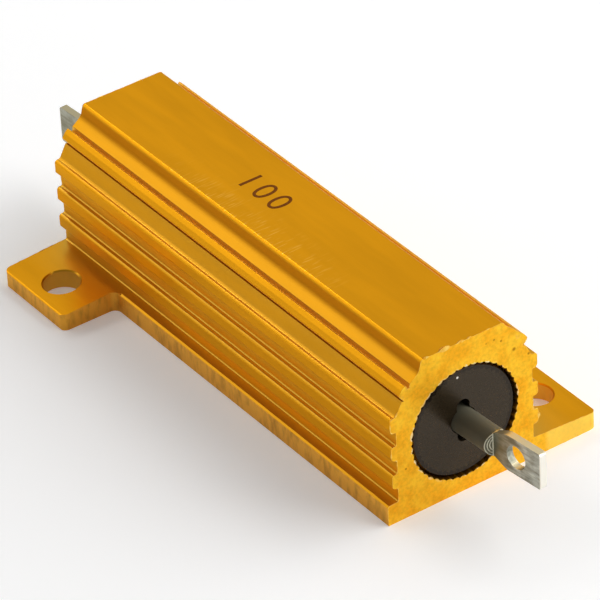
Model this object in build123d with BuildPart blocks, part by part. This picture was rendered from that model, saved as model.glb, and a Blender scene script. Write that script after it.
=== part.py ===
import os
from math import cos, pi, sin

from build123d import *

os.makedirs("parts", exist_ok=True)

# Aluminium housed wirewound resistor. X runs along the body, Z is up from the mounting face,
# and the origin is on that face under the middle of the body.

# Extruded housing: base, bore and flank fins
body_length = 50.0
flange_half_width = 13.85
flange_thickness = 2.05
flange_tip_thickness = 1.66
flange_edge_round = 0.15
base_floor = 1.43
bore_radius = 5.60
spline_count = 48
spline_depth = 0.20
wall_half_width = 7.07
fin_count = 3
fin_reach = 0.55
fin_height = 1.44
fin_gap = 1.42
fin_nose_round = 0.28
fin_heel_round = 0.34
root_round = 0.16

# Corners of the shoulder above the top fin: how far each lies inside the wall, how far it rises
# above the top fin
slot_mouth = (0.72, 1.32)
slot_root = (0.95, 1.28)
slot_roof = (0.54, 1.78)
rib_nose = (0.45, 1.99)
rib_back = (0.72, 2.40)
rib_crest = (1.12, 2.79)
groove_outer = (1.30, 2.32)
groove_inner = (1.52, 2.32)
facet_edge = (1.60, 2.75)
channel_root = (2.52, 3.42)
top_edge = (2.82, 4.57)
shoulder_root_round = 0.35
rib_round = 0.10
channel_round = 1.10
top_round = 0.38

# Feet left at two opposite corners where the rest of the flange is milled away
foot_length = 9.5
foot_corner_round = 0.7
mill_corner_round = 0.7
ledge_half_width = 8.19
ledge_chamfer = 0.15
mount_hole_radius = 1.70
mount_hole_break = 0.12
mount_hole_end_offset = 5.15
mount_hole_side_offset = 2.82

# Resistor element on the bore's axis
core_radius = 3.0
core_length = 38.0
cap_wall = 0.40
cap_floor = 0.50
cap_skirt = 4.0
cap_corner_chamfer = 0.30
cap_clearance = 0.02
core_end_chamfer = 0.25
ribbon_width = 0.80
ribbon_thickness = 0.20
ribbon_pitch = 4.2
winding_clearance = 0.05
filler_clearance = 0.05

# Insulating end discs
disc_thickness = 1.6
disc_recess = 0.22
disc_clearance = 0.03
disc_edge_chamfer = 0.20
shank_clearance = 0.10
blade_clearance = 0.33

# Terminals: a round shank pressed flat into a lug, each bent a little in handling
shank_radius = 1.20
shoulder_reach = 4.2
blade_height = 3.60
blade_thickness = 0.68
blade_length = 5.60
blade_flare = 1.5
press_slope = 0.30
press_round = 0.12
blade_corner_round = 0.25
lug_hole_radius = 1.12
lug_hole_end_offset = 2.92
near_shank_bend = 3.2
near_blade_bend = 5.8
rear_shank_bend = 4.5
rear_blade_bend = 3.0

half_length = body_length / 2
axis_height = base_floor + bore_radius
fin_pitch = fin_height + fin_gap
top_fin_height = flange_thickness + fin_count * fin_pitch
crest_radius = bore_radius - spline_depth
disc_face = half_length - disc_recess
filler_face = disc_face - disc_thickness
cap_radius = core_radius + cap_wall
cap_face = core_length / 2 + cap_floor
rim_face = cap_face - cap_floor - cap_skirt
winding_radius = core_radius + winding_clearance + ribbon_thickness / 2
cavity_radius = max(cap_radius, winding_radius + ribbon_thickness / 2) + filler_clearance
lug_root = (shank_radius ** 2 - (blade_thickness / 2) ** 2) ** 0.5
winding_length = 2 * (rim_face - ribbon_width / 2 - winding_clearance)
ledge_length = body_length - foot_length - mill_corner_round
hole_x = half_length - mount_hole_end_offset
hole_y = flange_half_width - mount_hole_side_offset

# How near a corner or a radius lies to the one that is looked for
match_tolerance = 0.01


def across(x, height=0.0):
    """Plane across the body at x, looking out along +X, with its origin at the given height."""
    return Plane(origin=(x, 0, height), x_dir=(0, 1, 0), z_dir=(1, 0, 0))


def shoulder_point(corner):
    """Corner of the shoulder in the half section: distance from the middle plane, height."""
    inset, rise = corner
    return (wall_half_width - inset, top_fin_height + rise)


def flange_top(y):
    """Height of the flange's sloping top at the distance y from the middle plane."""
    share = (y - wall_half_width) / (flange_half_width - wall_half_width)
    return flange_thickness - share * (flange_thickness - flange_tip_thickness)


def spline_outline():
    """Closed zigzag of the bore's fine splines, centred on the sketch's origin."""
    points = []
    for step in range(2 * spline_count):
        radius = bore_radius if step % 2 == 0 else crest_radius
        angle = pi * step / spline_count
        points.append((radius * cos(angle), radius * sin(angle)))
    return points


def corners_at(sketch, corners):
    """Vertices of an open sketch that lie at the given corners."""
    places = [Vector(*corner) for corner in corners]
    return [vertex for vertex in sketch.vertices()
            if any((vertex.center() - place).length < match_tolerance for place in places)]


def near_disc():
    """Insulating disc in the near end of the bore, with a keyhole that lets the lug through."""
    slot_height = blade_height + 2 * blade_clearance
    slot_width = blade_thickness + 2 * blade_clearance
    with BuildPart() as disc:
        with BuildSketch(across(filler_face, axis_height)):
            Circle(crest_radius - disc_clearance)
            Circle(shank_radius + shank_clearance, mode=Mode.SUBTRACT)
            SlotOverall(slot_height, slot_width, rotation=90, mode=Mode.SUBTRACT)
        extrude(amount=disc_thickness)
        outer_rim = disc.faces().sort_by(Axis.X)[-1].outer_wire().edges()
        chamfer(outer_rim, disc_edge_chamfer)
    return disc.part


def near_cap():
    """Drawn metal cap pressed over the near end of the core."""
    with BuildPart() as cap:
        with BuildSketch(across(rim_face, axis_height)):
            Circle(cap_radius)
        extrude(amount=cap_face - rim_face)
        chamfer(cap.edges().sort_by(Axis.X)[-1], cap_corner_chamfer)
        with BuildSketch(across(rim_face, axis_height)):
            Circle(core_radius + cap_clearance)
        extrude(amount=cap_skirt, mode=Mode.SUBTRACT)
    return cap.part


def near_lead(shank_bend, blade_bend):
    """Terminal of the near end, welded to the cap; its shank and its lug lean towards +Y by the
    given angles in degrees."""
    up = Vector(0, 0, 1)
    shank_way = Vector(1, 0, 0).rotate(Axis.Z, shank_bend)
    blade_way = Vector(1, 0, 0).rotate(Axis.Z, blade_bend)
    weld = Vector(cap_face, 0, axis_height)
    bend = Vector(disc_face, 0, axis_height)
    shoulder = bend + shank_way * shoulder_reach
    flat = Plane(origin=shoulder, x_dir=blade_way, z_dir=blade_way.cross(up))
    with BuildPart() as lead:
        with BuildLine() as route:
            Polyline(weld, bend, shoulder + shank_way * press_round)
        with BuildSketch(across(cap_face, axis_height)):
            Circle(shank_radius)
        sweep(path=route.wire(), transition=Transition.RIGHT)
        with BuildSketch(Plane(origin=shoulder, x_dir=blade_way, z_dir=up)) as press:
            for side in (-1, 1):
                with BuildLine():
                    Polyline(
                        (0, side * blade_thickness / 2), (-press_slope, side * shank_radius),
                        (-press_slope, side * 2 * shank_radius),
                        (2 * shank_radius, side * 2 * shank_radius),
                        (2 * shank_radius, side * blade_thickness / 2), close=True)
                make_face()
            press_corners = [(0, -blade_thickness / 2), (0, blade_thickness / 2)]
            fillet(corners_at(press, press_corners), press_round)
        extrude(amount=shank_radius, both=True, mode=Mode.SUBTRACT)
        with BuildSketch(flat.offset(-blade_thickness / 2)) as lug:
            with BuildLine():
                Polyline(
                    (-press_round, -lug_root), (0, -lug_root), (blade_flare, -blade_height / 2),
                    (blade_length, -blade_height / 2), (blade_length, blade_height / 2),
                    (blade_flare, blade_height / 2), (0, lug_root), (-press_round, lug_root),
                    close=True)
            make_face()
            flare_corners = [(blade_flare, -blade_height / 2), (blade_flare, blade_height / 2)]
            fillet(corners_at(lug, flare_corners), blade_flare)
            end_corners = [(blade_length, -blade_height / 2), (blade_length, blade_height / 2)]
            fillet(corners_at(lug, end_corners), blade_corner_round)
            with Locations((blade_length - lug_hole_end_offset, 0)):
                Circle(lug_hole_radius, mode=Mode.SUBTRACT)
        extrude(amount=blade_thickness)
    return lead.part


def turned_to_rear(piece):
    """The same piece at the rear end, turned half round about the upright axis."""
    return piece.rotate(Axis.Z, 180)


# Housing: an extruded section with fins, a stepped shoulder and a flange, splined through, and then
# milled so that two feet are left of the flange
with BuildPart() as housing:
    with BuildSketch(across(-half_length)) as section:
        with BuildLine():
            shoulder = [shoulder_point(corner) for corner in (
                slot_mouth, slot_root, slot_roof, rib_nose, rib_back, rib_crest,
                groove_outer, groove_inner, facet_edge, channel_root, top_edge)]
            Polyline(
                (0, 0), (flange_half_width, 0), (flange_half_width, flange_tip_thickness),
                (wall_half_width, flange_thickness), (wall_half_width, top_fin_height),
                *shoulder, (0, shoulder[-1][1]), close=True)
        make_face()
        fin_middle = flange_thickness + fin_gap + fin_height / 2
        for fin in range(fin_count):
            with Locations((wall_half_width, fin_middle + fin * fin_pitch)):
                Rectangle(2 * fin_reach, fin_height)
        heels = [flange_thickness + fin_gap + fin * fin_pitch for fin in range(fin_count)]
        noses = [heel + fin_height for heel in heels]
        nose_corners = [(wall_half_width + fin_reach, nose) for nose in noses]
        fillet(corners_at(section, nose_corners), fin_nose_round)
        heel_corners = [(wall_half_width + fin_reach, heel) for heel in heels]
        fillet(corners_at(section, heel_corners), fin_heel_round)
        roots = [(wall_half_width, height) for height in (flange_thickness, *heels, *noses[:-1])]
        fillet(corners_at(section, roots), root_round)
        fillet(corners_at(section, [(wall_half_width, top_fin_height)]), shoulder_root_round)
        flange_edges = [(flange_half_width, 0), (flange_half_width, flange_tip_thickness)]
        fillet(corners_at(section, flange_edges), flange_edge_round)
        ribs = [shoulder_point(corner) for corner in (rib_nose, rib_crest, facet_edge)]
        fillet(corners_at(section, ribs), rib_round)
        fillet(corners_at(section, [shoulder_point(channel_root)]), channel_round)
        fillet(corners_at(section, [shoulder_point(top_edge)]), top_round)
        mirror(about=Plane.YZ)
    extrude(amount=body_length)
    with BuildSketch(across(-half_length, axis_height)):
        with BuildLine():
            Polyline(*spline_outline(), close=True)
        make_face()
    extrude(amount=body_length, mode=Mode.SUBTRACT)
    for side in (-1, 1):
        milled_width = flange_half_width - ledge_half_width
        inner_corner = (side * (half_length - foot_length), side * ledge_half_width)
        with BuildSketch(Plane.XY) as notch:
            with Locations((-side * foot_length / 2, side * flange_half_width)):
                Rectangle(body_length - foot_length, 2 * milled_width)
            fillet(corners_at(notch, [inner_corner]), mill_corner_round)
        extrude(amount=flange_thickness, mode=Mode.SUBTRACT)
        with BuildSketch(Plane.XY) as foot_outline:
            with Locations((side * (half_length - foot_length / 2), side * flange_half_width)):
                Rectangle(2 * foot_length, 2 * foot_corner_round)
            with Locations((side * (half_length - foot_length / 2), 0)):
                RectangleRounded(
                    foot_length, 2 * flange_half_width, foot_corner_round, mode=Mode.SUBTRACT)
        extrude(amount=flange_thickness, mode=Mode.SUBTRACT)
        ledge_start = -half_length if side > 0 else half_length - ledge_length
        chamfer_start = ledge_half_width - ledge_chamfer
        with BuildSketch(across(ledge_start)):
            with BuildLine():
                Polyline(
                    (side * chamfer_start, flange_top(chamfer_start)),
                    (side * ledge_half_width, flange_top(ledge_half_width) - ledge_chamfer),
                    (side * ledge_half_width, flange_thickness), close=True)
            make_face()
        extrude(amount=ledge_length, mode=Mode.SUBTRACT)
    with BuildSketch(Plane.XY):
        with Locations((-hole_x, -hole_y), (hole_x, hole_y)):
            Circle(mount_hole_radius)
    extrude(amount=flange_thickness, mode=Mode.SUBTRACT)
    hole_walls = [face for face in housing.faces().filter_by(GeomType.CYLINDER)
                  if abs(face.radius - mount_hole_radius) < match_tolerance]
    rims = [edge for wall in hole_walls for edge in wall.edges() if edge.geom_type != GeomType.LINE]
    chamfer(rims, mount_hole_break)
housing.part.label = "housing"
export_step(housing.part, "parts/housing.step")

# Insulating discs at both ends of the bore
with BuildPart() as near_end_disc:
    add(near_disc())
near_end_disc.part.label = "near_end_disc"
export_step(near_end_disc.part, "parts/near_end_disc.step")

with BuildPart() as rear_end_disc:
    add(turned_to_rear(near_disc()))
rear_end_disc.part.label = "rear_end_disc"
export_step(rear_end_disc.part, "parts/rear_end_disc.step")

# Ceramic rod that carries the winding
with BuildPart() as ceramic_core:
    with BuildSketch(across(-core_length / 2, axis_height)):
        Circle(core_radius)
    extrude(amount=core_length)
    chamfer(ceramic_core.edges().filter_by(GeomType.CIRCLE), core_end_chamfer)
ceramic_core.part.label = "ceramic_core"
export_step(ceramic_core.part, "parts/ceramic_core.step")

# Resistance ribbon wound on the core between the caps
with BuildPart() as resistance_ribbon:
    with BuildLine() as turns:
        Helix(ribbon_pitch, winding_length, winding_radius,
              center=(-winding_length / 2, 0, axis_height), direction=(1, 0, 0))
    start = turns.line @ 0
    outward = start - Vector(-winding_length / 2, 0, axis_height)
    with BuildSketch(Plane(origin=start, x_dir=outward, z_dir=turns.line % 0)):
        Rectangle(ribbon_thickness, ribbon_width)
    sweep(path=turns.line, is_frenet=True)
resistance_ribbon.part.label = "resistance_ribbon"
export_step(resistance_ribbon.part, "parts/resistance_ribbon.step")

# Caps pressed over both ends of the core
with BuildPart() as near_end_cap:
    add(near_cap())
near_end_cap.part.label = "near_end_cap"
export_step(near_end_cap.part, "parts/near_end_cap.step")

with BuildPart() as rear_end_cap:
    add(turned_to_rear(near_cap()))
rear_end_cap.part.label = "rear_end_cap"
export_step(rear_end_cap.part, "parts/rear_end_cap.step")

# Terminals welded to the caps
with BuildPart() as near_terminal:
    add(near_lead(near_shank_bend, near_blade_bend))
near_terminal.part.label = "near_terminal"
export_step(near_terminal.part, "parts/near_terminal.step")

with BuildPart() as rear_terminal:
    add(turned_to_rear(near_lead(rear_shank_bend, rear_blade_bend)))
rear_terminal.part.label = "rear_terminal"
export_step(rear_terminal.part, "parts/rear_terminal.step")

# Filler cast between the element and the splined bore
with BuildPart() as potting_filler:
    with BuildSketch(across(-filler_face, axis_height)):
        with BuildLine():
            Polyline(*spline_outline(), close=True)
        make_face()
    extrude(amount=2 * filler_face)
    with BuildSketch(across(-filler_face, axis_height)):
        Circle(shank_radius + filler_clearance)
    extrude(amount=2 * filler_face, mode=Mode.SUBTRACT)
    with BuildSketch(across(-cap_face, axis_height)):
        Circle(cavity_radius)
    extrude(amount=2 * cap_face, mode=Mode.SUBTRACT)
potting_filler.part.label = "potting_filler"
export_step(potting_filler.part, "parts/potting_filler.step")
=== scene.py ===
import math

import bmesh
import bpy
from bpy.props import (
    FloatProperty, FloatVectorProperty, IntProperty, PointerProperty, StringProperty)
from mathutils import Matrix, Vector, noise


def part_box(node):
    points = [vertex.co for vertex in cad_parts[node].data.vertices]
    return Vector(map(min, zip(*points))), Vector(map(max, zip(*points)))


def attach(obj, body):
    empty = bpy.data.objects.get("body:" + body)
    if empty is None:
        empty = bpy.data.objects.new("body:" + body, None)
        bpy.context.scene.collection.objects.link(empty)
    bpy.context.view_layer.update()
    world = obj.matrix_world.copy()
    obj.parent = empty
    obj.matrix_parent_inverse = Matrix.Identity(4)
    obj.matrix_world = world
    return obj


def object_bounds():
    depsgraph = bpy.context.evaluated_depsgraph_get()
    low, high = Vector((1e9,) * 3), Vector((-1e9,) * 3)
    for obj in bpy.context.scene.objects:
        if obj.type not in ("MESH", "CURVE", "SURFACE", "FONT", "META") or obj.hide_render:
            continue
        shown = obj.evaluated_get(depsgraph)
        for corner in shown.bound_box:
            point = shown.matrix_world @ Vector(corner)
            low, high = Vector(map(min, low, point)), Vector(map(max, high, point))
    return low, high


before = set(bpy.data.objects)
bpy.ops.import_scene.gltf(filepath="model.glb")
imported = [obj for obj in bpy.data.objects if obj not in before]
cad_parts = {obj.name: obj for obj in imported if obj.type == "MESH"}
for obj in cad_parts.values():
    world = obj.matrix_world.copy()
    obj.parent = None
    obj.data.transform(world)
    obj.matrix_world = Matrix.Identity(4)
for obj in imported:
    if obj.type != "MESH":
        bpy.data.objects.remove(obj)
cad_low, cad_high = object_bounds()
housing_low, housing_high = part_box("housing")

bl_info = {
    "name": "Aluminium Housed Resistor",
    "version": (1, 0, 0),
    "blender": (4, 5, 0),
    "location": "3D View > Sidebar > Resistor",
    "description": "Finishes, saw burrs, press marks and marking of an aluminium housed resistor",
    "category": "Object",
}

MM = 0.001

# How far pieces that touch sink into or stand off each other
TOUCH = 0.004 * MM

# The housing's sawn ends, flat top, and the ledge of the flange outside its walls
END_X = housing_high.x
TOP_Z = housing_high.z
LEDGE_Y = 8.19 * MM

# The splined bore, the rim of the disc in it, and a pale speck on the near disc
BORE_Z = 7.03 * MM
BORE_RADIUS = 5.60 * MM
SPLINE_COUNT = 48
DISC_RIM = 5.17 * MM
DISC_FACE_X = 24.78 * MM
DISC_SPECK = (DISC_FACE_X, -0.49 * MM, 11.59 * MM)

# How far below the top the channels' walls reach, where the feet start and where they are drilled
CHANNEL_DEPTH = 1.40 * MM
FOOT_START_X = 15.5 * MM
HOLE_PLACE = (19.85 * MM, 11.03 * MM, 0.0)
HOLE_RADIUS = 1.70 * MM

# The V groove under the bright facet and the slot under the rib: how far across and how high the
# middle of each lies, and half its width and height
GROOVES = (
    (5.71 * MM, 13.10 * MM, 0.27 * MM, 0.22 * MM),
    (6.36 * MM, 12.27 * MM, 0.25 * MM, 0.26 * MM))

# The flap of burr that bridges the near end of the +Y channel
BRIDGE_START = Vector((END_X, 4.18 * MM, 15.10 * MM))
BRIDGE_END = Vector((END_X, 6.15 * MM, 13.18 * MM))
BRIDGE_DEPTH = 0.90 * MM
BRIDGE_THICKNESS = 0.12 * MM

# Pits that the saw tore out of the near end: distance across, height, radius
TORN_PITS = (
    (5.24 * MM, 12.03 * MM, 0.20 * MM), (3.21 * MM, 13.87 * MM, 0.10 * MM),
    (3.92 * MM, 13.44 * MM, 0.13 * MM), (2.38 * MM, 13.84 * MM, 0.07 * MM),
    (-6.21 * MM, 5.02 * MM, 0.12 * MM), (6.75 * MM, 10.9 * MM, 0.14 * MM))

# Larger flakes along the near end's top edge: place across, length, height
TOP_FLAKES = (
    (-3.9 * MM, 0.9 * MM, 0.22 * MM), (-1.85 * MM, 1.3 * MM, 0.40 * MM),
    (-0.2 * MM, 0.8 * MM, 0.24 * MM), (0.7 * MM, 0.5 * MM, 0.20 * MM))

# Terminals: they bend at the discs, the press flattens them further out, and each part leans
SHOULDER_X = 28.97 * MM
LUG_END_X = cad_high.x
SHANK_REACH = 4.20 * MM
SHANK_RADIUS = 1.20 * MM
PRESS_SLOPE = 0.30 * MM
LUG_HALF_THICKNESS = 0.34 * MM
NEAR_LEAN = math.radians(3.2)
REAR_LEAN = math.radians(4.5)
NEAR_LUG_LEAN = math.radians(5.8)
REAR_LUG_LEAN = math.radians(3.0)

# How high a digit is as a share of the font's size
DIGIT_SHARE = 0.72

# From the resistor to the middle of each lamp, and the floor's radius
LAMP_DISTANCE = 0.8
FLOOR_RADIUS = 3.0


def hex_colour(code):
    """Linear colour of an sRGB hex code such as "F2B020"."""
    linear = []
    for start in (0, 2, 4):
        share = int(code[start:start + 2], 16) / 255
        linear.append(share / 12.92 if share <= 0.04045 else ((share + 0.055) / 1.055) ** 2.4)
    return (*linear, 1.0)


def add(tree, kind, settings=None, inputs=None):
    """Adds one node to a tree; its kind is what its type has after "ShaderNode". Each input takes
    a value, a socket or a node, whose output is linked."""
    made = tree.nodes.new(f"ShaderNode{kind}")
    for name, value in (settings or {}).items():
        setattr(made, name, value)
    for name, value in (inputs or {}).items():
        socket = made.inputs[name] if isinstance(name, int) else next(
            s for s in made.inputs if s.enabled and s.name == name)
        if isinstance(value, bpy.types.Node):
            value = next(s for s in value.outputs if s.enabled)
        if isinstance(value, bpy.types.NodeSocket):
            tree.links.new(value, socket)
        else:
            socket.default_value = value
    return made


def new_material(name):
    """An empty node material and its tree."""
    material = bpy.data.materials.new(name)
    material.use_nodes = True
    material.node_tree.nodes.clear()
    return material, material.node_tree


def finish_material(material, shader):
    """Links a shader to a material's output, and gives the material."""
    add(material.node_tree, "OutputMaterial", inputs={"Surface": shader})
    return material


def all_of(tree, *masks):
    """Mask that holds where all the masks hold."""
    product, *others = masks
    for mask in others:
        product = add(tree, "Math", {"operation": "MULTIPLY"}, {0: product, 1: mask})
    return product


def across_bore(tree, place):
    """The way from the bore's axis to a place, square to the axis."""
    from_axis = add(tree, "VectorMath", {"operation": "SUBTRACT"}, {0: place, 1: (0, 0, BORE_Z)})
    return add(tree, "VectorMath", {"operation": "MULTIPLY"}, {0: from_axis, 1: (0, 1, 1)})


def dress(material, *names):
    """Gives CAD nodes their material."""
    for name in names:
        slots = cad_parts[name].data.materials
        slots.clear()
        slots.append(material)


def new_piece(name, bm, material):
    """Turns a bmesh into a piece of the resistor, with its material, held by the root body."""
    bmesh.ops.recalc_face_normals(bm, faces=bm.faces)
    mesh = bpy.data.meshes.new(name)
    bm.to_mesh(mesh)
    bm.free()
    mesh.materials.append(material)
    piece = bpy.data.objects.new(name, mesh)
    bpy.context.scene.collection.objects.link(piece)
    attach(piece, "root")


class HousingLooks(bpy.types.PropertyGroup):
    """Colours and surface sizes of the anodised housing."""
    extruded: FloatVectorProperty(
        name="Extruded faces", description="Dyed oxide on the faces that left the die",
        subtype="COLOR", size=4, default=hex_colour("E79E12"))
    # Painted shade: duller and darker between the fins
    valley_shade: FloatVectorProperty(
        name="Valleys", description="Duller dye between the fins",
        subtype="COLOR", size=4, default=hex_colour("D0A23E"))
    # Painted light: paler colour that lifts the shade deep in the narrow grooves
    groove_painted_light: FloatVectorProperty(
        name="Grooves", description="Matt dye deep in the narrow grooves",
        subtype="COLOR", size=4, default=hex_colour("F6C048"))
    sawn: FloatVectorProperty(
        name="Sawn ends", description="Dyed oxide on the sawn end faces",
        subtype="COLOR", size=4, default=hex_colour("FFC834"))
    sawn_deep: FloatVectorProperty(
        name="Sawn blotches", description="Blotches on the sawn end faces",
        subtype="COLOR", size=4, default=hex_colour("F6B224"))
    milled: FloatVectorProperty(
        name="Milled sides", description="Dyed oxide on the cut sides of the flange and feet",
        subtype="COLOR", size=4, default=hex_colour("FFBC40"))
    # Painted shade: darker towards the mounting face
    milled_low_shade: FloatVectorProperty(
        name="Milled sides low", description="Duller dye near the mounting face",
        subtype="COLOR", size=4, default=hex_colour("ECAA38"))
    milled_deep: FloatVectorProperty(
        name="Milled pockets", description="Torn pockets in the cut sides",
        subtype="COLOR", size=4, default=hex_colour("AA721A"))
    # Painted shade: darker on the walls of the channels beside the top
    channel: FloatVectorProperty(
        name="Channel walls", description="Denser dye on the walls of the channels beside the top",
        subtype="COLOR", size=4, default=hex_colour("BC7408"))
    hole: FloatVectorProperty(
        name="Hole walls", description="Dull dye inside the drilled holes",
        subtype="COLOR", size=4, default=hex_colour("ECBC48"))
    scuffed: FloatVectorProperty(
        name="Scuffed top", description="Dye in the light scuffs on the top",
        subtype="COLOR", size=4, default=hex_colour("FBBC46"))
    # Painted highlight: pale line at the mouth of the bore
    wear_and_painted_highlight: FloatVectorProperty(
        name="Worn edges", description="Rubbed dye at the mouth of the bore",
        subtype="COLOR", size=4, default=hex_colour("F6E3B0"))
    die_line: FloatProperty(
        name="Die lines", description="Width of the fine lines that the die leaves along the body",
        unit="LENGTH", precision=6, default=0.16 * MM)
    blotch: FloatProperty(
        name="Blotches", description="Width of the blotches in the dye",
        unit="LENGTH", precision=6, default=1.6 * MM)
    valley_width: FloatProperty(
        name="Valley width", description="How near other walls lie where the dye is duller",
        unit="LENGTH", precision=6, default=4.5 * MM)
    saw_grain: FloatProperty(
        name="Saw grain", description="Width of the torn grain on the sawn ends",
        unit="LENGTH", precision=6, default=0.30 * MM)
    pocket: FloatProperty(
        name="Pockets", description="Width of the torn pockets in the milled sides",
        unit="LENGTH", precision=6, default=0.6 * MM)
    scuff: FloatProperty(
        name="Scuffs", description="Width of the light scuffs on the top",
        unit="LENGTH", precision=6, default=0.16 * MM)


class BurrLooks(bpy.types.PropertyGroup):
    """Sizes of the ragged burr round the sawn ends."""
    height: FloatProperty(
        name="Height", description="How far the highest flakes stand out of the edge",
        unit="LENGTH", precision=6, default=0.16 * MM)
    step: FloatProperty(
        name="Step", description="Distance between points along the edge",
        unit="LENGTH", precision=6, default=0.10 * MM)
    flake: FloatProperty(
        name="Flake length", description="Length of a usual flake along the edge",
        unit="LENGTH", precision=6, default=0.45 * MM)
    rear_share: FloatProperty(
        name="Rear share", description="Height of the rear end's burr as a share of the near end's",
        default=0.35)


class PressLooks(bpy.types.PropertyGroup):
    """Sizes of the arcs that the press leaves on the shoulders of the shanks."""
    outer: FloatProperty(
        name="Outer arc", description="Radius of the outer arc",
        unit="LENGTH", precision=6, default=1.14 * MM)
    middle: FloatProperty(
        name="Middle arc", description="Radius of the middle arc",
        unit="LENGTH", precision=6, default=0.90 * MM)
    inner: FloatProperty(
        name="Inner arc", description="Radius of the inner arc",
        unit="LENGTH", precision=6, default=0.68 * MM)
    bead: FloatProperty(
        name="Bead", description="Radius of the raised lines",
        unit="LENGTH", precision=6, default=0.05 * MM)
    steps: IntProperty(name="Steps", description="Points on each half of an arc", default=12)


class MarkingLooks(bpy.types.PropertyGroup):
    """The plain number burnt into the top."""
    number: StringProperty(name="Number", description="Digits of the marking", default="100")
    height: FloatProperty(
        name="Height", description="Height of the digits",
        unit="LENGTH", precision=6, default=2.5 * MM)
    middle_x: FloatProperty(
        name="Middle along", description="Place of the marking's middle along the body",
        unit="LENGTH", precision=6, default=-3.4 * MM)
    middle_y: FloatProperty(
        name="Middle across", description="Place of the marking's middle across the body",
        unit="LENGTH", precision=6, default=0.3 * MM)
    ink: FloatVectorProperty(
        name="Burnt colour", description="Colour of the burnt lines",
        subtype="COLOR", size=4, default=hex_colour("602E08"))
    pale_ink: FloatVectorProperty(
        name="Thin burnt colour", description="Colour where the lines are burnt less deeply",
        subtype="COLOR", size=4, default=hex_colour("8A5012"))


class StageLooks(bpy.types.PropertyGroup):
    """Floor, light and camera."""
    floor: FloatVectorProperty(
        name="Floor", description="Colour of the floor", subtype="COLOR", size=4,
        default=hex_colour("F8F8F8"))
    glow: FloatProperty(
        name="Glow", description="How much lighter the floor looks than its paint", default=0.18)
    sky: FloatProperty(name="Sky", description="Strength of the even light", default=0.24)
    azimuth: FloatProperty(
        name="Azimuth", description="Direction of the camera, 0 looking along +Y",
        unit="ROTATION", default=math.radians(56.163))
    elevation: FloatProperty(
        name="Elevation", description="Angle of the camera above the horizon",
        unit="ROTATION", default=math.radians(34.975))
    roll: FloatProperty(
        name="Roll", description="How far the camera leans", unit="ROTATION",
        default=math.radians(-3.153))
    distance: FloatProperty(
        name="Distance", description="From the camera to the resistor's origin along the view",
        unit="LENGTH", default=443.984 * MM)
    aside: FloatProperty(
        name="Aside", description="How far right of the picture's middle the origin lies",
        unit="LENGTH", precision=6, default=-0.527 * MM)
    below: FloatProperty(
        name="Below", description="How far below the picture's middle the origin lies",
        unit="LENGTH", precision=6, default=4.695 * MM)
    lens: FloatProperty(
        name="Lens", description="Focal length in millimetres", default=305.775)


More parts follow.
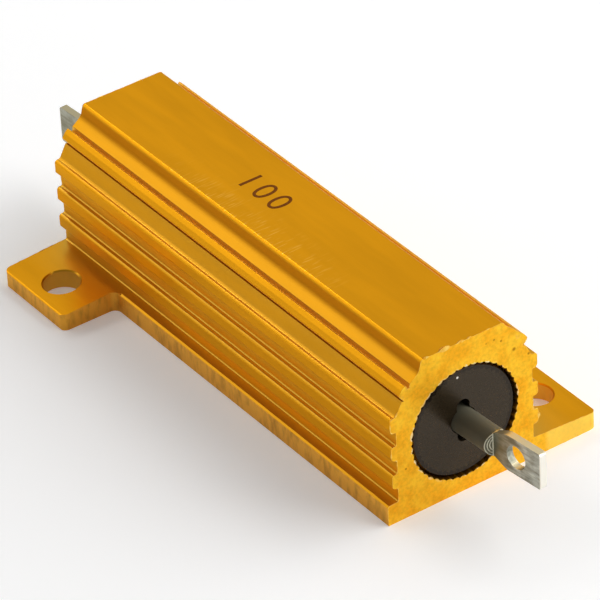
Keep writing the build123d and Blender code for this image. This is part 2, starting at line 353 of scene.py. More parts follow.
def housing_regions(tree, looks, place, normal):
    """Masks of the housing's regions: sawn ends, milled sides, top, valleys between the fins,
    grooves, walls of the channels beside the top, drilled holes and walls beside a foot. With
    them go the coordinates that the dyes need."""
    x, y, z = add(tree, "SeparateXYZ", inputs={0: place}).outputs
    facing_x, _, facing_z = add(tree, "SeparateXYZ", inputs={0: normal}).outputs
    far_x = add(tree, "Math", {"operation": "ABSOLUTE"}, {0: x})
    far_y = add(tree, "Math", {"operation": "ABSOLUTE"}, {0: y})
    to_end = add(tree, "Math", {"operation": "ABSOLUTE"}, {0: facing_x})
    to_floor = add(tree, "Math", {"operation": "ABSOLUTE"}, {0: facing_z})

    # Sawn: at the very end and facing along the body
    at_end = add(tree, "Math", {"operation": "GREATER_THAN"}, {0: far_x, 1: END_X - 0.2 * MM})
    along = add(tree, "Math", {"operation": "GREATER_THAN"}, {0: to_end, 1: 0.7})
    sawn = all_of(tree, at_end, along)
    not_sawn = add(tree, "Math", {"operation": "SUBTRACT"}, {0: 1.0, 1: sawn})
    # Milled: upright faces of the flange outside the walls
    outside = add(tree, "Math", {"operation": "GREATER_THAN"}, {0: far_y, 1: LEDGE_Y - 0.1 * MM})
    upright = add(tree, "Math", {"operation": "LESS_THAN"}, {0: to_floor, 1: 0.35})
    # Top: the flat that takes the marking
    high = add(tree, "Math", {"operation": "GREATER_THAN"}, {0: z, 1: TOP_Z - 0.05 * MM})
    # Valleys: where other walls of the same extrusion lie near; this mask carries painted shade
    walls = add(tree, "AmbientOcclusion", {"samples": 8, "only_local": True}, {
        "Distance": looks.valley_width})
    valley_shade = add(tree, "MapRange", inputs={
        "Value": walls.outputs["AO"], "From Min": 1.0, "From Max": 0.50})
    # Grooves: inside the V groove and the slot; this mask carries painted light and a less metallic
    # finish
    groove = 0.0
    for across, height, half_width, half_height in GROOVES:
        between = add(tree, "Math", {"operation": "COMPARE"}, {0: far_y, 1: across, 2: half_width})
        sunk = add(tree, "Math", {"operation": "COMPARE"}, {0: z, 1: height, 2: half_height})
        groove = add(tree, "Math", {"operation": "MULTIPLY_ADD", "use_clamp": True}, {
            0: between, 1: sunk, 2: groove})
    # Channel walls: steep and just below the top; this mask carries painted shade
    under = add(tree, "MapRange", inputs={
        "Value": z, "From Min": TOP_Z - 0.15 * MM, "From Max": TOP_Z - 0.35 * MM})
    above = add(tree, "Math", {"operation": "GREATER_THAN"}, {0: z, 1: TOP_Z - CHANNEL_DEPTH})
    steep = add(tree, "MapRange", inputs={"Value": to_floor, "From Min": 0.80, "From Max": 0.40})
    # Holes: the same place at both ends, one foot being the other turned half round
    either = add(tree, "VectorMath", {"operation": "ABSOLUTE"}, {0: place})
    apart = add(tree, "VectorMath", {"operation": "SUBTRACT"}, {0: either, 1: HOLE_PLACE})
    level = add(tree, "VectorMath", {"operation": "MULTIPLY"}, {0: apart, 1: (1, 1, 0)})
    from_axis = add(tree, "VectorMath", {"operation": "LENGTH"}, {0: level})
    near_axis = add(tree, "Math", {"operation": "LESS_THAN"}, {
        0: from_axis, 1: HOLE_RADIUS + 0.05 * MM})
    # Beside a foot: the walls just above it, where along and across have the same sign
    product = add(tree, "Math", {"operation": "MULTIPLY"}, {0: x, 1: y})
    same_sign = add(tree, "Math", {"operation": "GREATER_THAN"}, {0: product, 1: 0.0})
    level_with = add(tree, "MapRange", inputs={
        "Value": far_x, "From Min": FOOT_START_X - 10.0 * MM, "From Max": FOOT_START_X - 5.0 * MM})
    low = add(tree, "MapRange", inputs={"Value": z, "From Min": 11.0 * MM, "From Max": 7.0 * MM})
    return {
        "y": y, "z": z, "far_x": far_x, "far_y": far_y,
        "sawn": sawn, "valley_shade": valley_shade, "groove": groove,
        "milled": all_of(tree, outside, upright, not_sawn),
        "top": all_of(tree, high, not_sawn),
        "channel": all_of(tree, under, above, steep, not_sawn),
        "hole": all_of(tree, near_axis, upright),
        "beside_foot": all_of(tree, level_with, low, upright, same_sign)}


def extruded_dye_and_painted_light(tree, looks, place, regions):
    """Colour of the extruded faces: soft blotches drawn out along the body, painted shade in the
    valleys and on the channels' walls, painted light in the grooves, and lighter where the top was
    scuffed."""
    drawn_out = add(tree, "VectorMath", {"operation": "MULTIPLY"}, {0: place, 1: (0.15, 1.0, 1.0)})
    blotch = add(tree, "TexNoise", inputs={
        "Vector": drawn_out, "Scale": 1 / looks.blotch, "Detail": 3.0})
    shade = add(tree, "MapRange", inputs={
        "Value": blotch, "From Min": 0.3, "From Max": 0.7, "To Min": 0.93, "To Max": 1.05})
    dye = add(tree, "Mix", {"data_type": "RGBA", "blend_type": "MULTIPLY"}, {
        "Factor": 1.0, "A": looks.extruded, "B": shade})
    # Painted shade in the valleys and on the channels' walls, painted light in the grooves
    for region, colour in (
            ("valley_shade", looks.valley_shade), ("groove", looks.groove_painted_light), ("channel", looks.channel)):
        dye = add(tree, "Mix", {"data_type": "RGBA"}, {
            "Factor": regions[region], "A": dye, "B": colour})

    # Scuffs run across the top, most of them near its -Y edge and the middle of the body
    across = add(tree, "VectorMath", {"operation": "MULTIPLY"}, {0: place, 1: (1.0, 0.09, 1.0)})
    streak = add(tree, "TexNoise", inputs={
        "Vector": across, "Scale": 1 / looks.scuff, "Detail": 1.0})
    line = add(tree, "MapRange", inputs={
        "Value": streak, "From Min": 0.57, "From Max": 0.70, "To Max": 0.80})
    at_edge = add(tree, "MapRange", inputs={
        "Value": regions["y"], "From Min": -0.8 * MM, "From Max": -3.4 * MM})
    at_middle = add(tree, "MapRange", inputs={
        "Value": regions["far_x"], "From Min": 14.0 * MM, "From Max": 7.0 * MM})
    scuffed = all_of(tree, line, at_edge, at_middle, regions["top"])
    return add(tree, "Mix", {"data_type": "RGBA"}, {
        "Factor": scuffed, "A": dye, "B": looks.scuffed})


def sawn_dye_and_painted_light(tree, looks, place, regions):
    """Colour of the sawn ends: yellower, in soft blotches, with a painted highlight on the feet's
    ends, torn pits whose shade is painted as dark spots, and at the mouth of the bore a painted
    pale highlight line and painted shade on the splines' crests."""
    blotch = add(tree, "TexNoise", inputs={
        "Vector": place, "Scale": 1 / looks.blotch, "Detail": 2.0})
    share = add(tree, "MapRange", inputs={"Value": blotch, "From Min": 0.35, "From Max": 0.65})
    soft = add(tree, "Mix", {"data_type": "RGBA"}, {
        "Factor": share, "A": looks.sawn_deep, "B": looks.sawn})
    # Torn grain, drawn coarser than the saw's real marks, to show
    torn = add(tree, "TexNoise", inputs={
        "Vector": place, "Scale": 1 / looks.saw_grain, "Detail": 3.0})
    speckle = add(tree, "MapRange", inputs={
        "Value": torn, "From Min": 0.3, "From Max": 0.7, "To Min": 0.88, "To Max": 1.10})
    grainy = add(tree, "Mix", {"data_type": "RGBA", "blend_type": "MULTIPLY"}, {
        "Factor": 1.0, "A": soft, "B": speckle})
    # Painted highlight: the end of the foot is painted the yellowest
    foot_end_highlight = add(tree, "MapRange", inputs={
        "Value": regions["far_y"], "From Min": LEDGE_Y, "From Max": LEDGE_Y + 0.5 * MM,
        "To Max": 0.6})
    colour = add(tree, "Mix", {"data_type": "RGBA"}, {
        "Factor": foot_end_highlight, "A": grainy, "B": hex_colour("FFE46C")})

    # Painted highlight: the mouth of the bore is painted pale in patches; its splines' crests are
    # painted dark, painted shade
    radius = add(tree, "VectorMath", {"operation": "LENGTH"}, {0: across_bore(tree, place)})
    wobble = add(tree, "TexNoise", inputs={
        "Vector": place, "Scale": 1 / (0.6 * MM), "Detail": 2.0})
    reach = add(tree, "MapRange", inputs={
        "Value": wobble, "From Min": 0.38, "From Max": 0.66,
        "To Min": BORE_RADIUS - 0.22 * MM, "To Max": BORE_RADIUS + 0.12 * MM})
    mouth = add(tree, "Math", {"operation": "LESS_THAN"}, {0: radius, 1: reach})
    patch = add(tree, "TexNoise", inputs={"Vector": place, "Scale": 1 / (2.2 * MM), "Detail": 1.0})
    rub_and_highlight = add(tree, "MapRange", inputs={
        "Value": patch, "From Min": 0.40, "From Max": 0.60, "To Min": 0.15, "To Max": 0.85})
    colour = add(tree, "Mix", {"data_type": "RGBA"}, {
        "Factor": all_of(tree, mouth, rub_and_highlight), "A": colour, "B": looks.wear_and_painted_highlight})
    # Painted shade: the splines' crests at the mouth are darkened as the gap round the disc
    crest = add(tree, "MapRange", inputs={
        "Value": radius, "From Min": BORE_RADIUS - 0.08 * MM, "From Max": BORE_RADIUS - 0.14 * MM,
        "To Max": 0.85})
    colour = add(tree, "Mix", {"data_type": "RGBA"}, {
        "Factor": crest, "A": colour, "B": hex_colour("3A1A08")})

    # Torn pits: real pits, with their shade painted as dark spots
    for across, height, size in TORN_PITS:
        centre = add(tree, "VectorMath", {"operation": "DISTANCE"}, {
            0: place, 1: (END_X, across, height)})
        depth = add(tree, "MapRange", {"interpolation_type": "SMOOTHSTEP"}, {
            "Value": centre, "From Min": 1.3 * size, "From Max": 0.3 * size, "To Max": 0.75})
        colour = add(tree, "Mix", {"data_type": "RGBA"}, {
            "Factor": depth, "A": colour, "B": hex_colour("8A5208")})
    return colour


def milled_dye_and_painted_shade(tree, looks, place, regions):
    """Colour of the milled sides: painted shade towards the base, with darker pockets where the
    cutter tore the metal."""
    # Painted shade: darker towards the base
    rise = add(tree, "MapRange", inputs={
        "Value": regions["z"], "From Min": 0.1 * MM, "From Max": 1.7 * MM})
    side = add(tree, "Mix", {"data_type": "RGBA"}, {
        "Factor": rise, "A": looks.milled_low_shade, "B": looks.milled})
    # The pockets are drawn out upwards, as the cutter's edge left them
    upright = add(tree, "VectorMath", {"operation": "MULTIPLY"}, {0: place, 1: (1.0, 1.0, 0.35)})
    torn = add(tree, "TexNoise", inputs={
        "Vector": upright, "Scale": 1 / looks.pocket, "Detail": 4.0})
    pocket = add(tree, "MapRange", inputs={
        "Value": torn, "From Min": 0.46, "From Max": 0.78, "To Max": 0.70})
    cut = add(tree, "Mix", {"data_type": "RGBA"}, {
        "Factor": pocket, "A": side, "B": looks.milled_deep})
    return add(tree, "Mix", {"data_type": "RGBA"}, {
        "Factor": regions["hole"], "A": cut, "B": looks.hole})


def gold_anodised_aluminium(looks):
    """Aluminium extruded, cut and then etched and anodised with a gold dye: a clear hard oxide over
    bright metal, so the eye gets a satin metallic gold, even along the extrusion, yellower and
    blotched where it was sawn and duller and rougher where it was milled."""
    material, tree = new_material("gold_anodised_aluminium")
    place = add(tree, "TexCoord").outputs["Object"]
    normal = add(tree, "NewGeometry").outputs["True Normal"]
    regions = housing_regions(tree, looks, place, normal)
    with_milled = add(tree, "Mix", {"data_type": "RGBA"}, {
        "Factor": regions["milled"], "A": extruded_dye_and_painted_light(tree, looks, place, regions),
        "B": milled_dye_and_painted_shade(tree, looks, place, regions)})
    colour = add(tree, "Mix", {"data_type": "RGBA"}, {
        "Factor": regions["sawn"], "A": with_milled, "B": sawn_dye_and_painted_light(tree, looks, place, regions)})

    # Die lines: long along the body and narrow across it; drawn coarser than real ones, to show
    stretched = add(tree, "VectorMath", {"operation": "MULTIPLY"}, {
        0: place, 1: (0.015, 1.0, 1.0)})
    die = add(tree, "TexNoise", inputs={
        "Vector": stretched, "Scale": 1 / looks.die_line, "Detail": 2.0})
    grain = add(tree, "TexNoise", inputs={
        "Vector": place, "Scale": 1 / looks.saw_grain, "Detail": 4.0})
    cut = add(tree, "Math", {"operation": "MAXIMUM"}, {0: regions["sawn"], 1: regions["milled"]})
    relief = add(tree, "Mix", {"data_type": "FLOAT"}, {"Factor": cut, "A": die, "B": grain})
    depth = add(tree, "MapRange", inputs={"Value": cut, "To Min": 0.05, "To Max": 0.45})
    bump = add(tree, "Bump", inputs={"Strength": depth, "Distance": 0.05 * MM, "Height": relief})
    satin = add(tree, "MapRange", inputs={"Value": cut, "To Min": 0.30, "To Max": 0.46})
    # The walls beside a foot are rougher, so they don't mirror it as a bright patch
    rough = add(tree, "Mix", {"data_type": "FLOAT"}, {
        "Factor": regions["beside_foot"], "A": satin, "B": 0.52})
    # The oxide scatters more light where it is thick, in the grooves, or rough, on the milled sides
    matt = add(tree, "Math", {"operation": "MAXIMUM"}, {
        0: regions["groove"], 1: regions["milled"]})
    metallic = add(tree, "MapRange", inputs={"Value": matt, "To Min": 0.94, "To Max": 0.50})
    shader = add(tree, "BsdfPrincipled", inputs={
        "Base Color": colour, "Metallic": metallic, "Roughness": rough, "Normal": bump,
        "Specular Tint": hex_colour("FFEABC")})
    return finish_material(material, shader)


def torn_aluminium():
    """Burr that the saw tore out of the aluminium before it was anodised: thin and ragged, so its
    dye is pale and it glints."""
    material, tree = new_material("torn_anodised_aluminium")
    place = add(tree, "TexCoord").outputs["Object"]
    # The dye took unevenly, in patches about as long as a flake
    patch = add(tree, "TexNoise", inputs={"Vector": place, "Scale": 1 / (0.5 * MM), "Detail": 3.0})
    share = add(tree, "MapRange", inputs={"Value": patch, "From Min": 0.35, "From Max": 0.65})
    colour = add(tree, "Mix", {"data_type": "RGBA"}, {
        "Factor": share, "A": hex_colour("F2AC28"), "B": hex_colour("FFDC74")})
    bump = add(tree, "Bump", inputs={"Strength": 0.3, "Distance": 0.03 * MM, "Height": patch})
    shader = add(tree, "BsdfPrincipled", inputs={
        "Base Color": colour, "Metallic": 1.0, "Roughness": 0.42, "Normal": bump,
        "Specular Tint": hex_colour("FFD88C")})
    return finish_material(material, shader)


def dark_moulding():
    """Disc moulded from dark filled plastic: near black brown, with the soft gloss of the mould."""
    material, tree = new_material("dark_moulded_plastic")
    place = add(tree, "TexCoord").outputs["Object"]
    # Grain of the filler, drawn coarser than the real one, to show
    grain = add(tree, "TexNoise", inputs={
        "Vector": place, "Scale": 1 / (0.12 * MM), "Detail": 3.0})
    face = add(tree, "Mix", {"data_type": "RGBA"}, {
        "Factor": grain, "A": hex_colour("20180F"), "B": hex_colour("2D2518")})
    # Painted shade: the rim is painted the darkest, as the gap between the disc and the bore, and
    # its inner edge waves with the bore's splines
    across = across_bore(tree, place)
    radius = add(tree, "VectorMath", {"operation": "LENGTH"}, {0: across})
    _, y, z = add(tree, "SeparateXYZ", inputs={0: across}).outputs
    angle = add(tree, "Math", {"operation": "ARCTAN2"}, {0: z, 1: y})
    turns = add(tree, "Math", {"operation": "MULTIPLY"}, {0: angle, 1: SPLINE_COUNT})
    wave = add(tree, "Math", {"operation": "SINE"}, {0: turns})
    flute = add(tree, "MapRange", inputs={
        "Value": wave, "From Min": -1.0,
        "To Min": DISC_RIM - 0.42 * MM, "To Max": DISC_RIM - 0.24 * MM})
    rim = add(tree, "Math", {"operation": "GREATER_THAN"}, {0: radius, 1: flute})
    rim_painted_shade = add(tree, "Mix", {"data_type": "RGBA"}, {
        "Factor": rim, "A": face, "B": hex_colour("0C0503")})
    # One pale speck
    apart = add(tree, "VectorMath", {"operation": "DISTANCE"}, {0: place, 1: DISC_SPECK})
    speck = add(tree, "Math", {"operation": "LESS_THAN"}, {0: apart, 1: 0.11 * MM})
    tone = add(tree, "Mix", {"data_type": "RGBA"}, {
        "Factor": speck, "A": rim_painted_shade, "B": hex_colour("F2EEE6")})
    rough = add(tree, "MapRange", inputs={"Value": grain, "To Min": 0.17, "To Max": 0.30})
    bump = add(tree, "Bump", inputs={"Strength": 0.2, "Distance": 0.02 * MM, "Height": grain})
    shader = add(tree, "BsdfPrincipled", inputs={
        "Base Color": tone, "Roughness": rough, "Normal": bump, "Specular IOR Level": 0.35,
        "Specular Tint": hex_colour("FFE4C0")})
    return finish_material(material, shader)


def tinned_copper():
    """Copper wire tinned and pressed flat: soft grey metal, satin, with rub lines along its length,
    dark and dull with oxide on the round shank, lighter where the press flattened it, with painted
    highlights on its sheared edges and end."""
    material, tree = new_material("tinned_copper")
    place = add(tree, "TexCoord").outputs["Object"]
    normal = add(tree, "NewGeometry").outputs["True Normal"]
    x = add(tree, "SeparateXYZ", inputs={0: place}).outputs["X"]
    facing_z = add(tree, "SeparateXYZ", inputs={0: normal}).outputs["Z"]
    far_x = add(tree, "Math", {"operation": "ABSOLUTE"}, {0: x})
    # Rubbed lines along the wire, drawn coarser than real ones, and oxide in patches
    stretched = add(tree, "VectorMath", {"operation": "MULTIPLY"}, {0: place, 1: (0.12, 1.0, 1.0)})
    rub = add(tree, "TexNoise", inputs={
        "Vector": stretched, "Scale": 1 / (0.25 * MM), "Detail": 3.0})
    patch = add(tree, "TexNoise", inputs={"Vector": place, "Scale": 1 / (1.1 * MM), "Detail": 4.0})
    wear_and_painted_highlight = add(tree, "Math", {"operation": "MULTIPLY"}, {0: rub, 1: patch})
    share = add(tree, "MapRange", inputs={"Value": wear_and_painted_highlight, "From Min": 0.14, "From Max": 0.36})
    tin = add(tree, "Mix", {"data_type": "RGBA"}, {
        "Factor": share, "A": hex_colour("828070"), "B": hex_colour("CACCC0")})

    # The lug brightens away from the shank; its sheared edges and end are painted pale, painted
    # highlights
    flattened = add(tree, "MapRange", inputs={
        "Value": far_x, "From Min": SHOULDER_X - 0.3 * MM, "From Max": SHOULDER_X + 3.0 * MM})
    flat = add(tree, "Mix", {"data_type": "RGBA"}, {
        "Factor": flattened, "A": hex_colour("706E58"), "B": tin})
    # Painted highlight on the lug's top and bottom edges
    edge = add(tree, "MapRange", inputs={"Value": facing_z, "From Min": 0.8, "From Max": 0.95})
    on_lug = add(tree, "Math", {"operation": "GREATER_THAN"}, {0: far_x, 1: SHOULDER_X})
    edge_highlighted = add(tree, "Mix", {"data_type": "RGBA"}, {
        "Factor": all_of(tree, edge, on_lug), "A": flat, "B": hex_colour("DED0A8")})
    # Painted highlight: the lug's end is painted near white
    end = add(tree, "Math", {"operation": "GREATER_THAN"}, {0: far_x, 1: LUG_END_X - 0.12 * MM})
    lug = add(tree, "Mix", {"data_type": "RGBA"}, {
        "Factor": end, "A": edge_highlighted, "B": hex_colour("FAF6EA")})
    # The round shank is dull, and the rear terminal is the more oxidised of the two
    shank = add(tree, "MapRange", inputs={
        "Value": far_x, "From Min": SHOULDER_X, "From Max": SHOULDER_X - 0.25 * MM})
    worked = add(tree, "Mix", {"data_type": "RGBA"}, {
        "Factor": shank, "A": lug, "B": hex_colour("6A6654")})
    rear = add(tree, "Math", {"operation": "LESS_THAN"}, {0: x, 1: 0.0})
    oxidised = add(tree, "Math", {"operation": "MULTIPLY"}, {0: rear, 1: 0.5})
    tone = add(tree, "Mix", {"data_type": "RGBA"}, {
        "Factor": oxidised, "A": worked, "B": hex_colour("868060")})

    metallic = add(tree, "MapRange", inputs={"Value": shank, "To Min": 0.8, "To Max": 0.35})
    dull = add(tree, "Math", {"operation": "MULTIPLY"}, {0: shank, 1: 0.15})
    rub_and_highlight = add(tree, "MapRange", inputs={"Value": rub, "To Min": 0.32, "To Max": 0.48})
    rough = add(tree, "Math", {"operation": "ADD"}, {0: rub_and_highlight, 1: dull})
    bump = add(tree, "Bump", inputs={"Strength": 0.2, "Distance": 0.02 * MM, "Height": rub})
    shader = add(tree, "BsdfPrincipled", inputs={
        "Base Color": tone, "Metallic": metallic, "Roughness": rough, "Normal": bump})
    return finish_material(material, shader)


def pressed_tin():
    """Tin that the press squeezed into thin raised lines: bare, bright and smooth."""
    material, tree = new_material("pressed_tin")
    place = add(tree, "TexCoord").outputs["Object"]
    # Unevenness of the tin, drawn coarser than the real one
    grain = add(tree, "TexNoise", inputs={"Vector": place, "Scale": 1 / (0.2 * MM), "Detail": 2.0})
    tone = add(tree, "Mix", {"data_type": "RGBA"}, {
        "Factor": grain, "A": hex_colour("B8B49C"), "B": hex_colour("F4F0DC")})
    shader = add(tree, "BsdfPrincipled", inputs={
        "Base Color": tone, "Metallic": 0.7, "Roughness": 0.4})
    return finish_material(material, shader)


def plain_finish(name, code, grain_size, metallic, roughness):
    """Finish of a hidden piece: one colour with the fine unevenness of its surface, drawn coarser
    than the real one."""
    material, tree = new_material(name)
    place = add(tree, "TexCoord").outputs["Object"]
    grain = add(tree, "TexNoise", inputs={"Vector": place, "Scale": 1 / grain_size, "Detail": 2.0})
    shade = add(tree, "MapRange", inputs={"Value": grain, "To Min": 0.85, "To Max": 1.1})
    tone = add(tree, "Mix", {"data_type": "RGBA", "blend_type": "MULTIPLY"}, {
        "Factor": 1.0, "A": hex_colour(code), "B": shade})
    bump = add(tree, "Bump", inputs={"Strength": 0.2, "Distance": 0.02 * MM, "Height": grain})
    shader = add(tree, "BsdfPrincipled", inputs={
        "Base Color": tone, "Metallic": metallic, "Roughness": roughness, "Normal": bump})
    return finish_material(material, shader)


def burnt_marking(looks):
    """Lines burnt through the dye of the anodised aluminium: matt brown, paler where less deep."""
    material, tree = new_material("burnt_marking")
    place = add(tree, "TexCoord").outputs["Object"]
    # The burn's depth changes as often as its lines are wide
    grain = add(tree, "TexNoise", inputs={
        "Vector": place, "Scale": 1 / (0.25 * MM), "Detail": 2.0})
    tone = add(tree, "Mix", {"data_type": "RGBA"}, {
        "Factor": grain, "A": looks.ink, "B": looks.pale_ink})
    shader = add(tree, "BsdfPrincipled", inputs={
        "Base Color": tone, "Roughness": 0.9, "Specular IOR Level": 0.1})
    return finish_material(material, shader)


def pale_floor(looks):
    """Plain matt white board. To the camera and in reflections it is as white as lit paper, and it
    keeps its shadow."""
    material, tree = new_material("white_board")
    path = add(tree, "LightPath")
    seen = add(tree, "Math", {"operation": "ADD"}, {
        0: path.outputs["Is Camera Ray"], 1: path.outputs["Is Glossy Ray"]})
    seen_at_all = add(tree, "Math", {"operation": "ADD", "use_clamp": True}, {
        0: seen, 1: path.outputs["Is Transmission Ray"]})
    strength = add(tree, "Math", {"operation": "MULTIPLY"}, {0: seen_at_all, 1: looks.glow})
    board = add(tree, "BsdfDiffuse", inputs={"Color": looks.floor})
    glow = add(tree, "Emission", inputs={"Color": (1, 1, 1, 1), "Strength": strength})
    return finish_material(material, add(tree, "AddShader", inputs={0: board, 1: glow}))


def end_outline(end_x):
    """Outer outline of the housing's end face at end_x: a closed ring of points, each with the way
    out of the metal there."""
    bm = bmesh.new()
    bm.from_mesh(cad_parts["housing"].data)
    bmesh.ops.remove_doubles(bm, verts=bm.verts, dist=TOUCH / 4)
    end_faces = {f for f in bm.faces if all(abs(v.co.x - end_x) < TOUCH for v in f.verts)}
    rim = {}
    for edge in bm.edges:
        inner = [f for f in edge.link_faces if f in end_faces]
        if len(inner) == 1:
            start, end = edge.verts
            across = (end.co - start.co).cross(Vector((1, 0, 0))).normalized()
            if across.dot(inner[0].calc_center_median() - start.co) > 0:
                across = -across
            for vert in (start, end):
                rim.setdefault(vert, []).append((edge, across))
    # From the lowest corner of the -Y side, which is on the outer outline and not on the bore's
    vert = min(rim, key=lambda v: (v.co.y, v.co.z))
    edge = None
    ring = []
    while vert in rim:
        sides = rim.pop(vert)
        ring.append((vert.co.copy(), sum((way for _, way in sides), Vector()).normalized()))
        edge = next(e for e, _ in sides if e is not edge)
        vert = edge.other_vert(vert)
    bm.free()
    return ring


def resampled(ring, step):
    """The same ring with points evenly about a step apart."""
    points = []
    for (start, way), (end, next_way) in zip(ring, ring[1:] + ring[:1]):
        count = max(1, round((end - start).length / step))
        for index in range(count):
            share = index / count
            points.append((start.lerp(end, share), way.lerp(next_way, share).normalized()))
    return points


def burr_height(point, looks):
    """How far the burr stands out at a point of the edge: low nearly everywhere, with torn flakes,
    the larger ones along the near end's top edge."""
    fine = noise.noise(point / looks.flake)
    # Stretches of the edge with more burr or less, about six flakes long
    coarse = noise.noise(point / (6 * looks.flake) + Vector((3.1, 1.7, 0.4)))
    share = max(0.0, 0.35 + 0.9 * fine) * max(0.12, 0.35 + 1.3 * coarse)
    height = looks.height * min(1.0, share)
    if point.x < 0:
        return looks.rear_share * height
    if point.z > TOP_Z - TOUCH:
        for place, length, rise in TOP_FLAKES:
            height = max(height, rise * (1 - (2 * (point.y - place) / length) ** 2))
    return height


def close_strip(bm, rows):
    """Joins rows of corners into a closed strip, capped where the first and last rows differ."""
    for row, after in zip(rows, rows[1:]):
        for corner in range(len(row)):
            beside = (corner + 1) % len(row)
            bm.faces.new((row[corner], row[beside], after[beside], after[corner]))
    if rows[0] is not rows[-1]:
        bm.faces.new(rows[0])
        bm.faces.new(reversed(rows[-1]))


def channel_flap(looks):
    """Thin flap of metal that the saw pushed across the near end of the +Y channel."""
    bm = bmesh.new()
    span = BRIDGE_END - BRIDGE_START
    inward = Vector((0, span.z, -span.y)).normalized()
    outward = Vector((1, 0, 0))
    count = round(span.length / looks.step)
    rows = []
    for index in range(count + 1):
        edge = BRIDGE_START + span * index / count
        ragged = edge + inward * 0.4 * looks.height * max(0.0, noise.noise(edge / looks.flake))
        root = edge + inward * BRIDGE_DEPTH
        corners = (ragged + outward * TOUCH, root + outward * TOUCH,
                   root - outward * BRIDGE_THICKNESS, ragged - outward * BRIDGE_THICKNESS)
        rows.append([bm.verts.new(corner) for corner in corners])
    close_strip(bm, rows)
    return bm


def add_bead(bm, points, radius, sides=6):
    """Thin closed bead along a line of points."""
    rows = []
    for index, point in enumerate(points):
        before = points[max(index - 1, 0)]
        after = points[min(index + 1, len(points) - 1)]
        way = (after - before).normalized()
        first = way.orthogonal().normalized()
        second = way.cross(first)
        row = []
        for side in range(sides):
            angle = 2 * math.pi * side / sides
            around = first * math.cos(angle) + second * math.sin(angle)
            row.append(bm.verts.new(point + radius * around))
        rows.append(row)
    close_strip(bm, rows)


def press_lines(looks, shoulder, along):
    """Lines that the press leaves on both sides of a shank: arcs down its sloped shoulder, and a
    straight one where the lug starts."""
    up = Vector((0, 0, 1))
    chord = LUG_HALF_THICKNESS + 1.2 * looks.bead
    lines = []
    for side in (-1, 1):
        outward = side * up.cross(along)
        for radius in (looks.outer, looks.middle, looks.inner):
            half_turn = math.acos(chord / radius)
            arc = []
            for step in range(-looks.steps, looks.steps + 1):
                angle = half_turn * step / looks.steps
                depth = radius * math.cos(angle)
                slope = (depth - LUG_HALF_THICKNESS) / (SHANK_RADIUS - LUG_HALF_THICKNESS)
                set_back = PRESS_SLOPE * slope - 0.4 * looks.bead
                arc.append(
                    shoulder + up * radius * math.sin(angle) + outward * depth - along * set_back)
            lines.append(arc)
        root = (SHANK_RADIUS ** 2 - chord ** 2) ** 0.5
        lines.append([shoulder + outward * chord + rise * root * up for rise in (-1, 0, 1)])
    return lines


class RESISTOR_OT_housing(bpy.types.Operator):
    """Anodises the extruded housing"""
    bl_idname = "resistor.housing"
    bl_label = "Housing"

    def execute(self, context):
        dress(gold_anodised_aluminium(context.scene.housing_looks), "housing")
        return {"FINISHED"}


class RESISTOR_OT_saw_burrs(bpy.types.Operator):
    """Leaves a ragged burr round both sawn ends of the housing, and a flap across a channel"""
    bl_idname = "resistor.saw_burrs"
    bl_label = "Saw Burrs"

    def execute(self, context):
        looks = context.scene.burr_looks
        material = torn_aluminium()
        for name, end_x in (("near_saw_burr", END_X), ("rear_saw_burr", -END_X)):
            outward = Vector((math.copysign(1, end_x), 0, 0))
            bm = bmesh.new()
            rows = []
            for point, way in resampled(end_outline(end_x), looks.step):
                height = burr_height(point, looks)
                # Corners of its section: on the end face, at its tip, outside, and in the metal
                corners = (
                    point - way * (0.5 * height + 2 * TOUCH) + outward * TOUCH,
                    point + way * height + outward * 0.3 * height,
                    point + way * TOUCH - outward * (height + 2 * TOUCH),
                    point - way * 2 * TOUCH - outward * 2 * TOUCH)
                for corner in corners:
                    corner.z = max(corner.z, housing_low.z)
                rows.append([bm.verts.new(corner) for corner in corners])
            close_strip(bm, rows + rows[:1])
            new_piece(name, bm, material)
        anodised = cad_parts["housing"].data.materials[0]
        new_piece("near_channel_flap", channel_flap(looks), anodised)
        return {"FINISHED"}


class RESISTOR_OT_end_discs(bpy.types.Operator):
    """Gives the insulating end discs their moulded finish"""
    bl_idname = "resistor.end_discs"
    bl_label = "End Discs"

    def execute(self, context):
        dress(dark_moulding(), "near_end_disc", "rear_end_disc")
        return {"FINISHED"}


class RESISTOR_OT_terminals(bpy.types.Operator):
    """Gives both terminals their tinned finish"""
    bl_idname = "resistor.terminals"
    bl_label = "Terminals"

    def execute(self, context):
        dress(tinned_copper(), "near_terminal", "rear_terminal")
        return {"FINISHED"}


class RESISTOR_OT_press_marks(bpy.types.Operator):
    """Raises the thin arcs that the press leaves where each shank turns into its lug"""
    bl_idname = "resistor.press_marks"
    bl_label = "Press Marks"

    def execute(self, context):
        looks = context.scene.press_looks
        material = pressed_tin()
        bend = Vector((DISC_FACE_X, 0, BORE_Z))
        for name, lean, lug_lean, turn in (
                ("near_press_marks", NEAR_LEAN, NEAR_LUG_LEAN, 0.0),
                ("rear_press_marks", REAR_LEAN, REAR_LUG_LEAN, math.pi)):
            shoulder = bend + SHANK_REACH * Vector((math.cos(lean), math.sin(lean), 0))
            along = Vector((math.cos(lug_lean), math.sin(lug_lean), 0))
            bm = bmesh.new()
            for line in press_lines(looks, shoulder, along):
                add_bead(bm, line, looks.bead)
            # The rear marks are made at the near end and turned half round
            turned = Matrix.Rotation(turn, 3, "Z")
            bmesh.ops.rotate(bm, verts=bm.verts, cent=Vector(), matrix=turned)
            new_piece(name, bm, material)
        return {"FINISHED"}


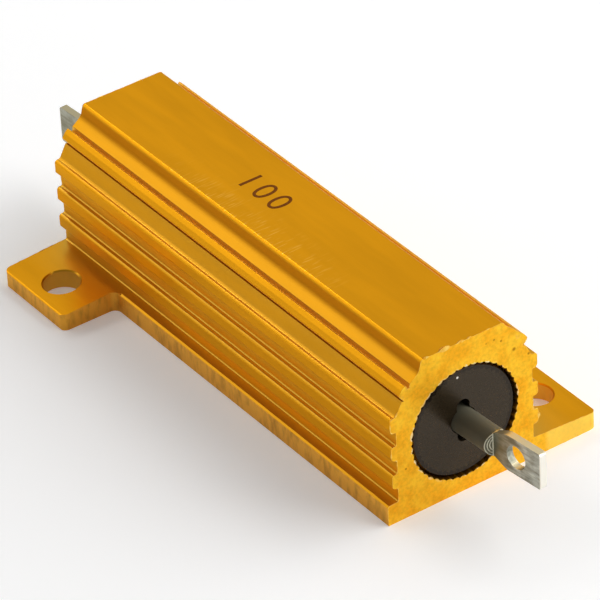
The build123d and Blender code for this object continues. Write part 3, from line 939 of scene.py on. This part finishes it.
class RESISTOR_OT_element(bpy.types.Operator):
    """Gives the hidden resistor element its finishes"""
    bl_idname = "resistor.element"
    bl_label = "Hidden Element"

    def execute(self, context):
        # Fired steatite is off white and matt
        steatite = plain_finish("fired_steatite", "DDD8CA", 0.3 * MM, metallic=0.0, roughness=0.7)
        dress(steatite, "ceramic_core")
        # Drawn nickel alloy ribbon is grey and satin
        alloy = plain_finish(
            "nickel_alloy_ribbon", "A39D92", 0.1 * MM, metallic=1.0, roughness=0.35)
        dress(alloy, "resistance_ribbon")
        # Drawn steel caps are plated, light grey and fairly bright
        steel = plain_finish("plated_steel", "C2C0B8", 0.2 * MM, metallic=1.0, roughness=0.3)
        dress(steel, "near_end_cap", "rear_end_cap")
        # Silicone filled with sand is grey brown and matt
        silicone = plain_finish(
            "filled_silicone", "7A746A", 0.15 * MM, metallic=0.0, roughness=0.8)
        dress(silicone, "potting_filler")
        return {"FINISHED"}


class RESISTOR_OT_marking(bpy.types.Operator):
    """Burns a plain number into the top"""
    bl_idname = "resistor.marking"
    bl_label = "Marking"

    def execute(self, context):
        looks = context.scene.marking_looks
        text = bpy.data.curves.new("marking", "FONT")
        text.body = looks.number
        text.size = looks.height / DIGIT_SHARE
        text.extrude = 2 * TOUCH
        text.align_x = "CENTER"
        # Thin lines, set wide
        text.offset = -0.004 * looks.height
        text.space_character = 1.25
        shape = bpy.data.objects.new("marking_outline", text)
        context.scene.collection.objects.link(shape)
        context.view_layer.update()
        shaped = shape.evaluated_get(context.evaluated_depsgraph_get())
        bm = bmesh.new()
        bm.from_mesh(bpy.data.meshes.new_from_object(shaped))
        bpy.data.objects.remove(shape)
        place = Vector((looks.middle_x, looks.middle_y - looks.height / 2, TOP_Z))
        bmesh.ops.translate(bm, verts=bm.verts, vec=place)
        new_piece("marking", bm, burnt_marking(looks))
        return {"FINISHED"}


class RESISTOR_OT_stage(bpy.types.Operator):
    """Sets up the floor, the light and the camera"""
    bl_idname = "resistor.stage"
    bl_label = "Stage"

    def execute(self, context):
        looks = context.scene.stage_looks
        bm = bmesh.new()
        bmesh.ops.create_circle(bm, cap_ends=True, segments=96, radius=FLOOR_RADIUS)
        mesh = bpy.data.meshes.new("floor")
        bm.to_mesh(mesh)
        bm.free()
        mesh.materials.append(pale_floor(looks))
        floor = bpy.data.objects.new("floor", mesh)
        floor.location.z = housing_low.z - TOUCH
        context.scene.collection.objects.link(floor)

        world = bpy.data.worlds.new("studio")
        world.use_nodes = True
        sky = world.node_tree.nodes["Background"].inputs
        sky["Color"].default_value = (1, 1, 1, 1)
        sky["Strength"].default_value = looks.sky
        context.scene.world = world

        # Square softboxes: the way to each from the resistor, its side in metres and its strength
        for name, way, size, strength in (
                ("ridge_softbox", (-0.68, 0.00, 0.73), 0.15, 5.00),
                ("edge_softbox", (-0.68, -0.42, 0.60), 0.42, 1.20),
                ("low_softbox", (-0.68, -0.70, 0.25), 0.30, 0.80),
                ("rear_softbox", (-0.68, 0.46, 0.57), 0.70, 0.54),
                ("key_softbox", (0.40, 0.76, 0.50), 0.95, 3.0)):
            lamp = bpy.data.lights.new(name, "AREA")
            lamp.size = size
            lamp.energy = math.pi * size ** 2 * strength
            holder = bpy.data.objects.new(name, lamp)
            direction = Vector(way).normalized()
            holder.location = direction * LAMP_DISTANCE
            holder.rotation_euler = direction.to_track_quat("Z", "Y").to_euler()
            context.scene.collection.objects.link(holder)

        turn = looks.azimuth
        tilt = looks.elevation
        back = Vector((
            math.sin(turn) * math.cos(tilt), -math.cos(turn) * math.cos(tilt), math.sin(tilt)))
        right = Vector((math.cos(turn), math.sin(turn), 0))
        lean = Matrix.Rotation(looks.roll, 3, "Z")
        axes = Matrix((right, back.cross(right), back)).transposed() @ lean
        lens = bpy.data.cameras.new("camera")
        lens.lens = looks.lens
        lens.clip_start = 0.01
        camera = bpy.data.objects.new("camera", lens)
        place = axes @ Vector((-looks.aside, looks.below, looks.distance))
        camera.matrix_world = Matrix.Translation(place) @ axes.to_4x4()
        context.scene.collection.objects.link(camera)
        context.scene.camera = camera
        context.scene.view_settings.view_transform = "Standard"
        return {"FINISHED"}


class RESISTOR_PT_panel(bpy.types.Panel):
    """Lists the resistor's pieces in the order in which they are made"""
    bl_label = "Housed Resistor"
    bl_idname = "RESISTOR_PT_panel"
    bl_space_type = "VIEW_3D"
    bl_region_type = "UI"
    bl_category = "Resistor"

    def draw(self, context):
        for operator in OPERATORS:
            self.layout.operator(operator.bl_idname)


GROUPS = {
    "housing_looks": HousingLooks,
    "burr_looks": BurrLooks,
    "press_looks": PressLooks,
    "marking_looks": MarkingLooks,
    "stage_looks": StageLooks,
}
OPERATORS = (
    RESISTOR_OT_housing, RESISTOR_OT_saw_burrs, RESISTOR_OT_end_discs, RESISTOR_OT_terminals,
    RESISTOR_OT_press_marks, RESISTOR_OT_element, RESISTOR_OT_marking, RESISTOR_OT_stage)


def register():
    for group in GROUPS.values():
        bpy.utils.register_class(group)
    for operator in OPERATORS:
        bpy.utils.register_class(operator)
    bpy.utils.register_class(RESISTOR_PT_panel)
    for name, group in GROUPS.items():
        setattr(bpy.types.Scene, name, PointerProperty(type=group))


def unregister():
    for name in GROUPS:
        delattr(bpy.types.Scene, name)
    bpy.utils.unregister_class(RESISTOR_PT_panel)
    for operator in reversed(OPERATORS):
        bpy.utils.unregister_class(operator)
    for group in reversed(GROUPS.values()):
        bpy.utils.unregister_class(group)


def main():
    register()
    for operator in OPERATORS:
        group, name = operator.bl_idname.split(".")
        getattr(getattr(bpy.ops, group), name)()


if __name__ == "__main__":
    main()
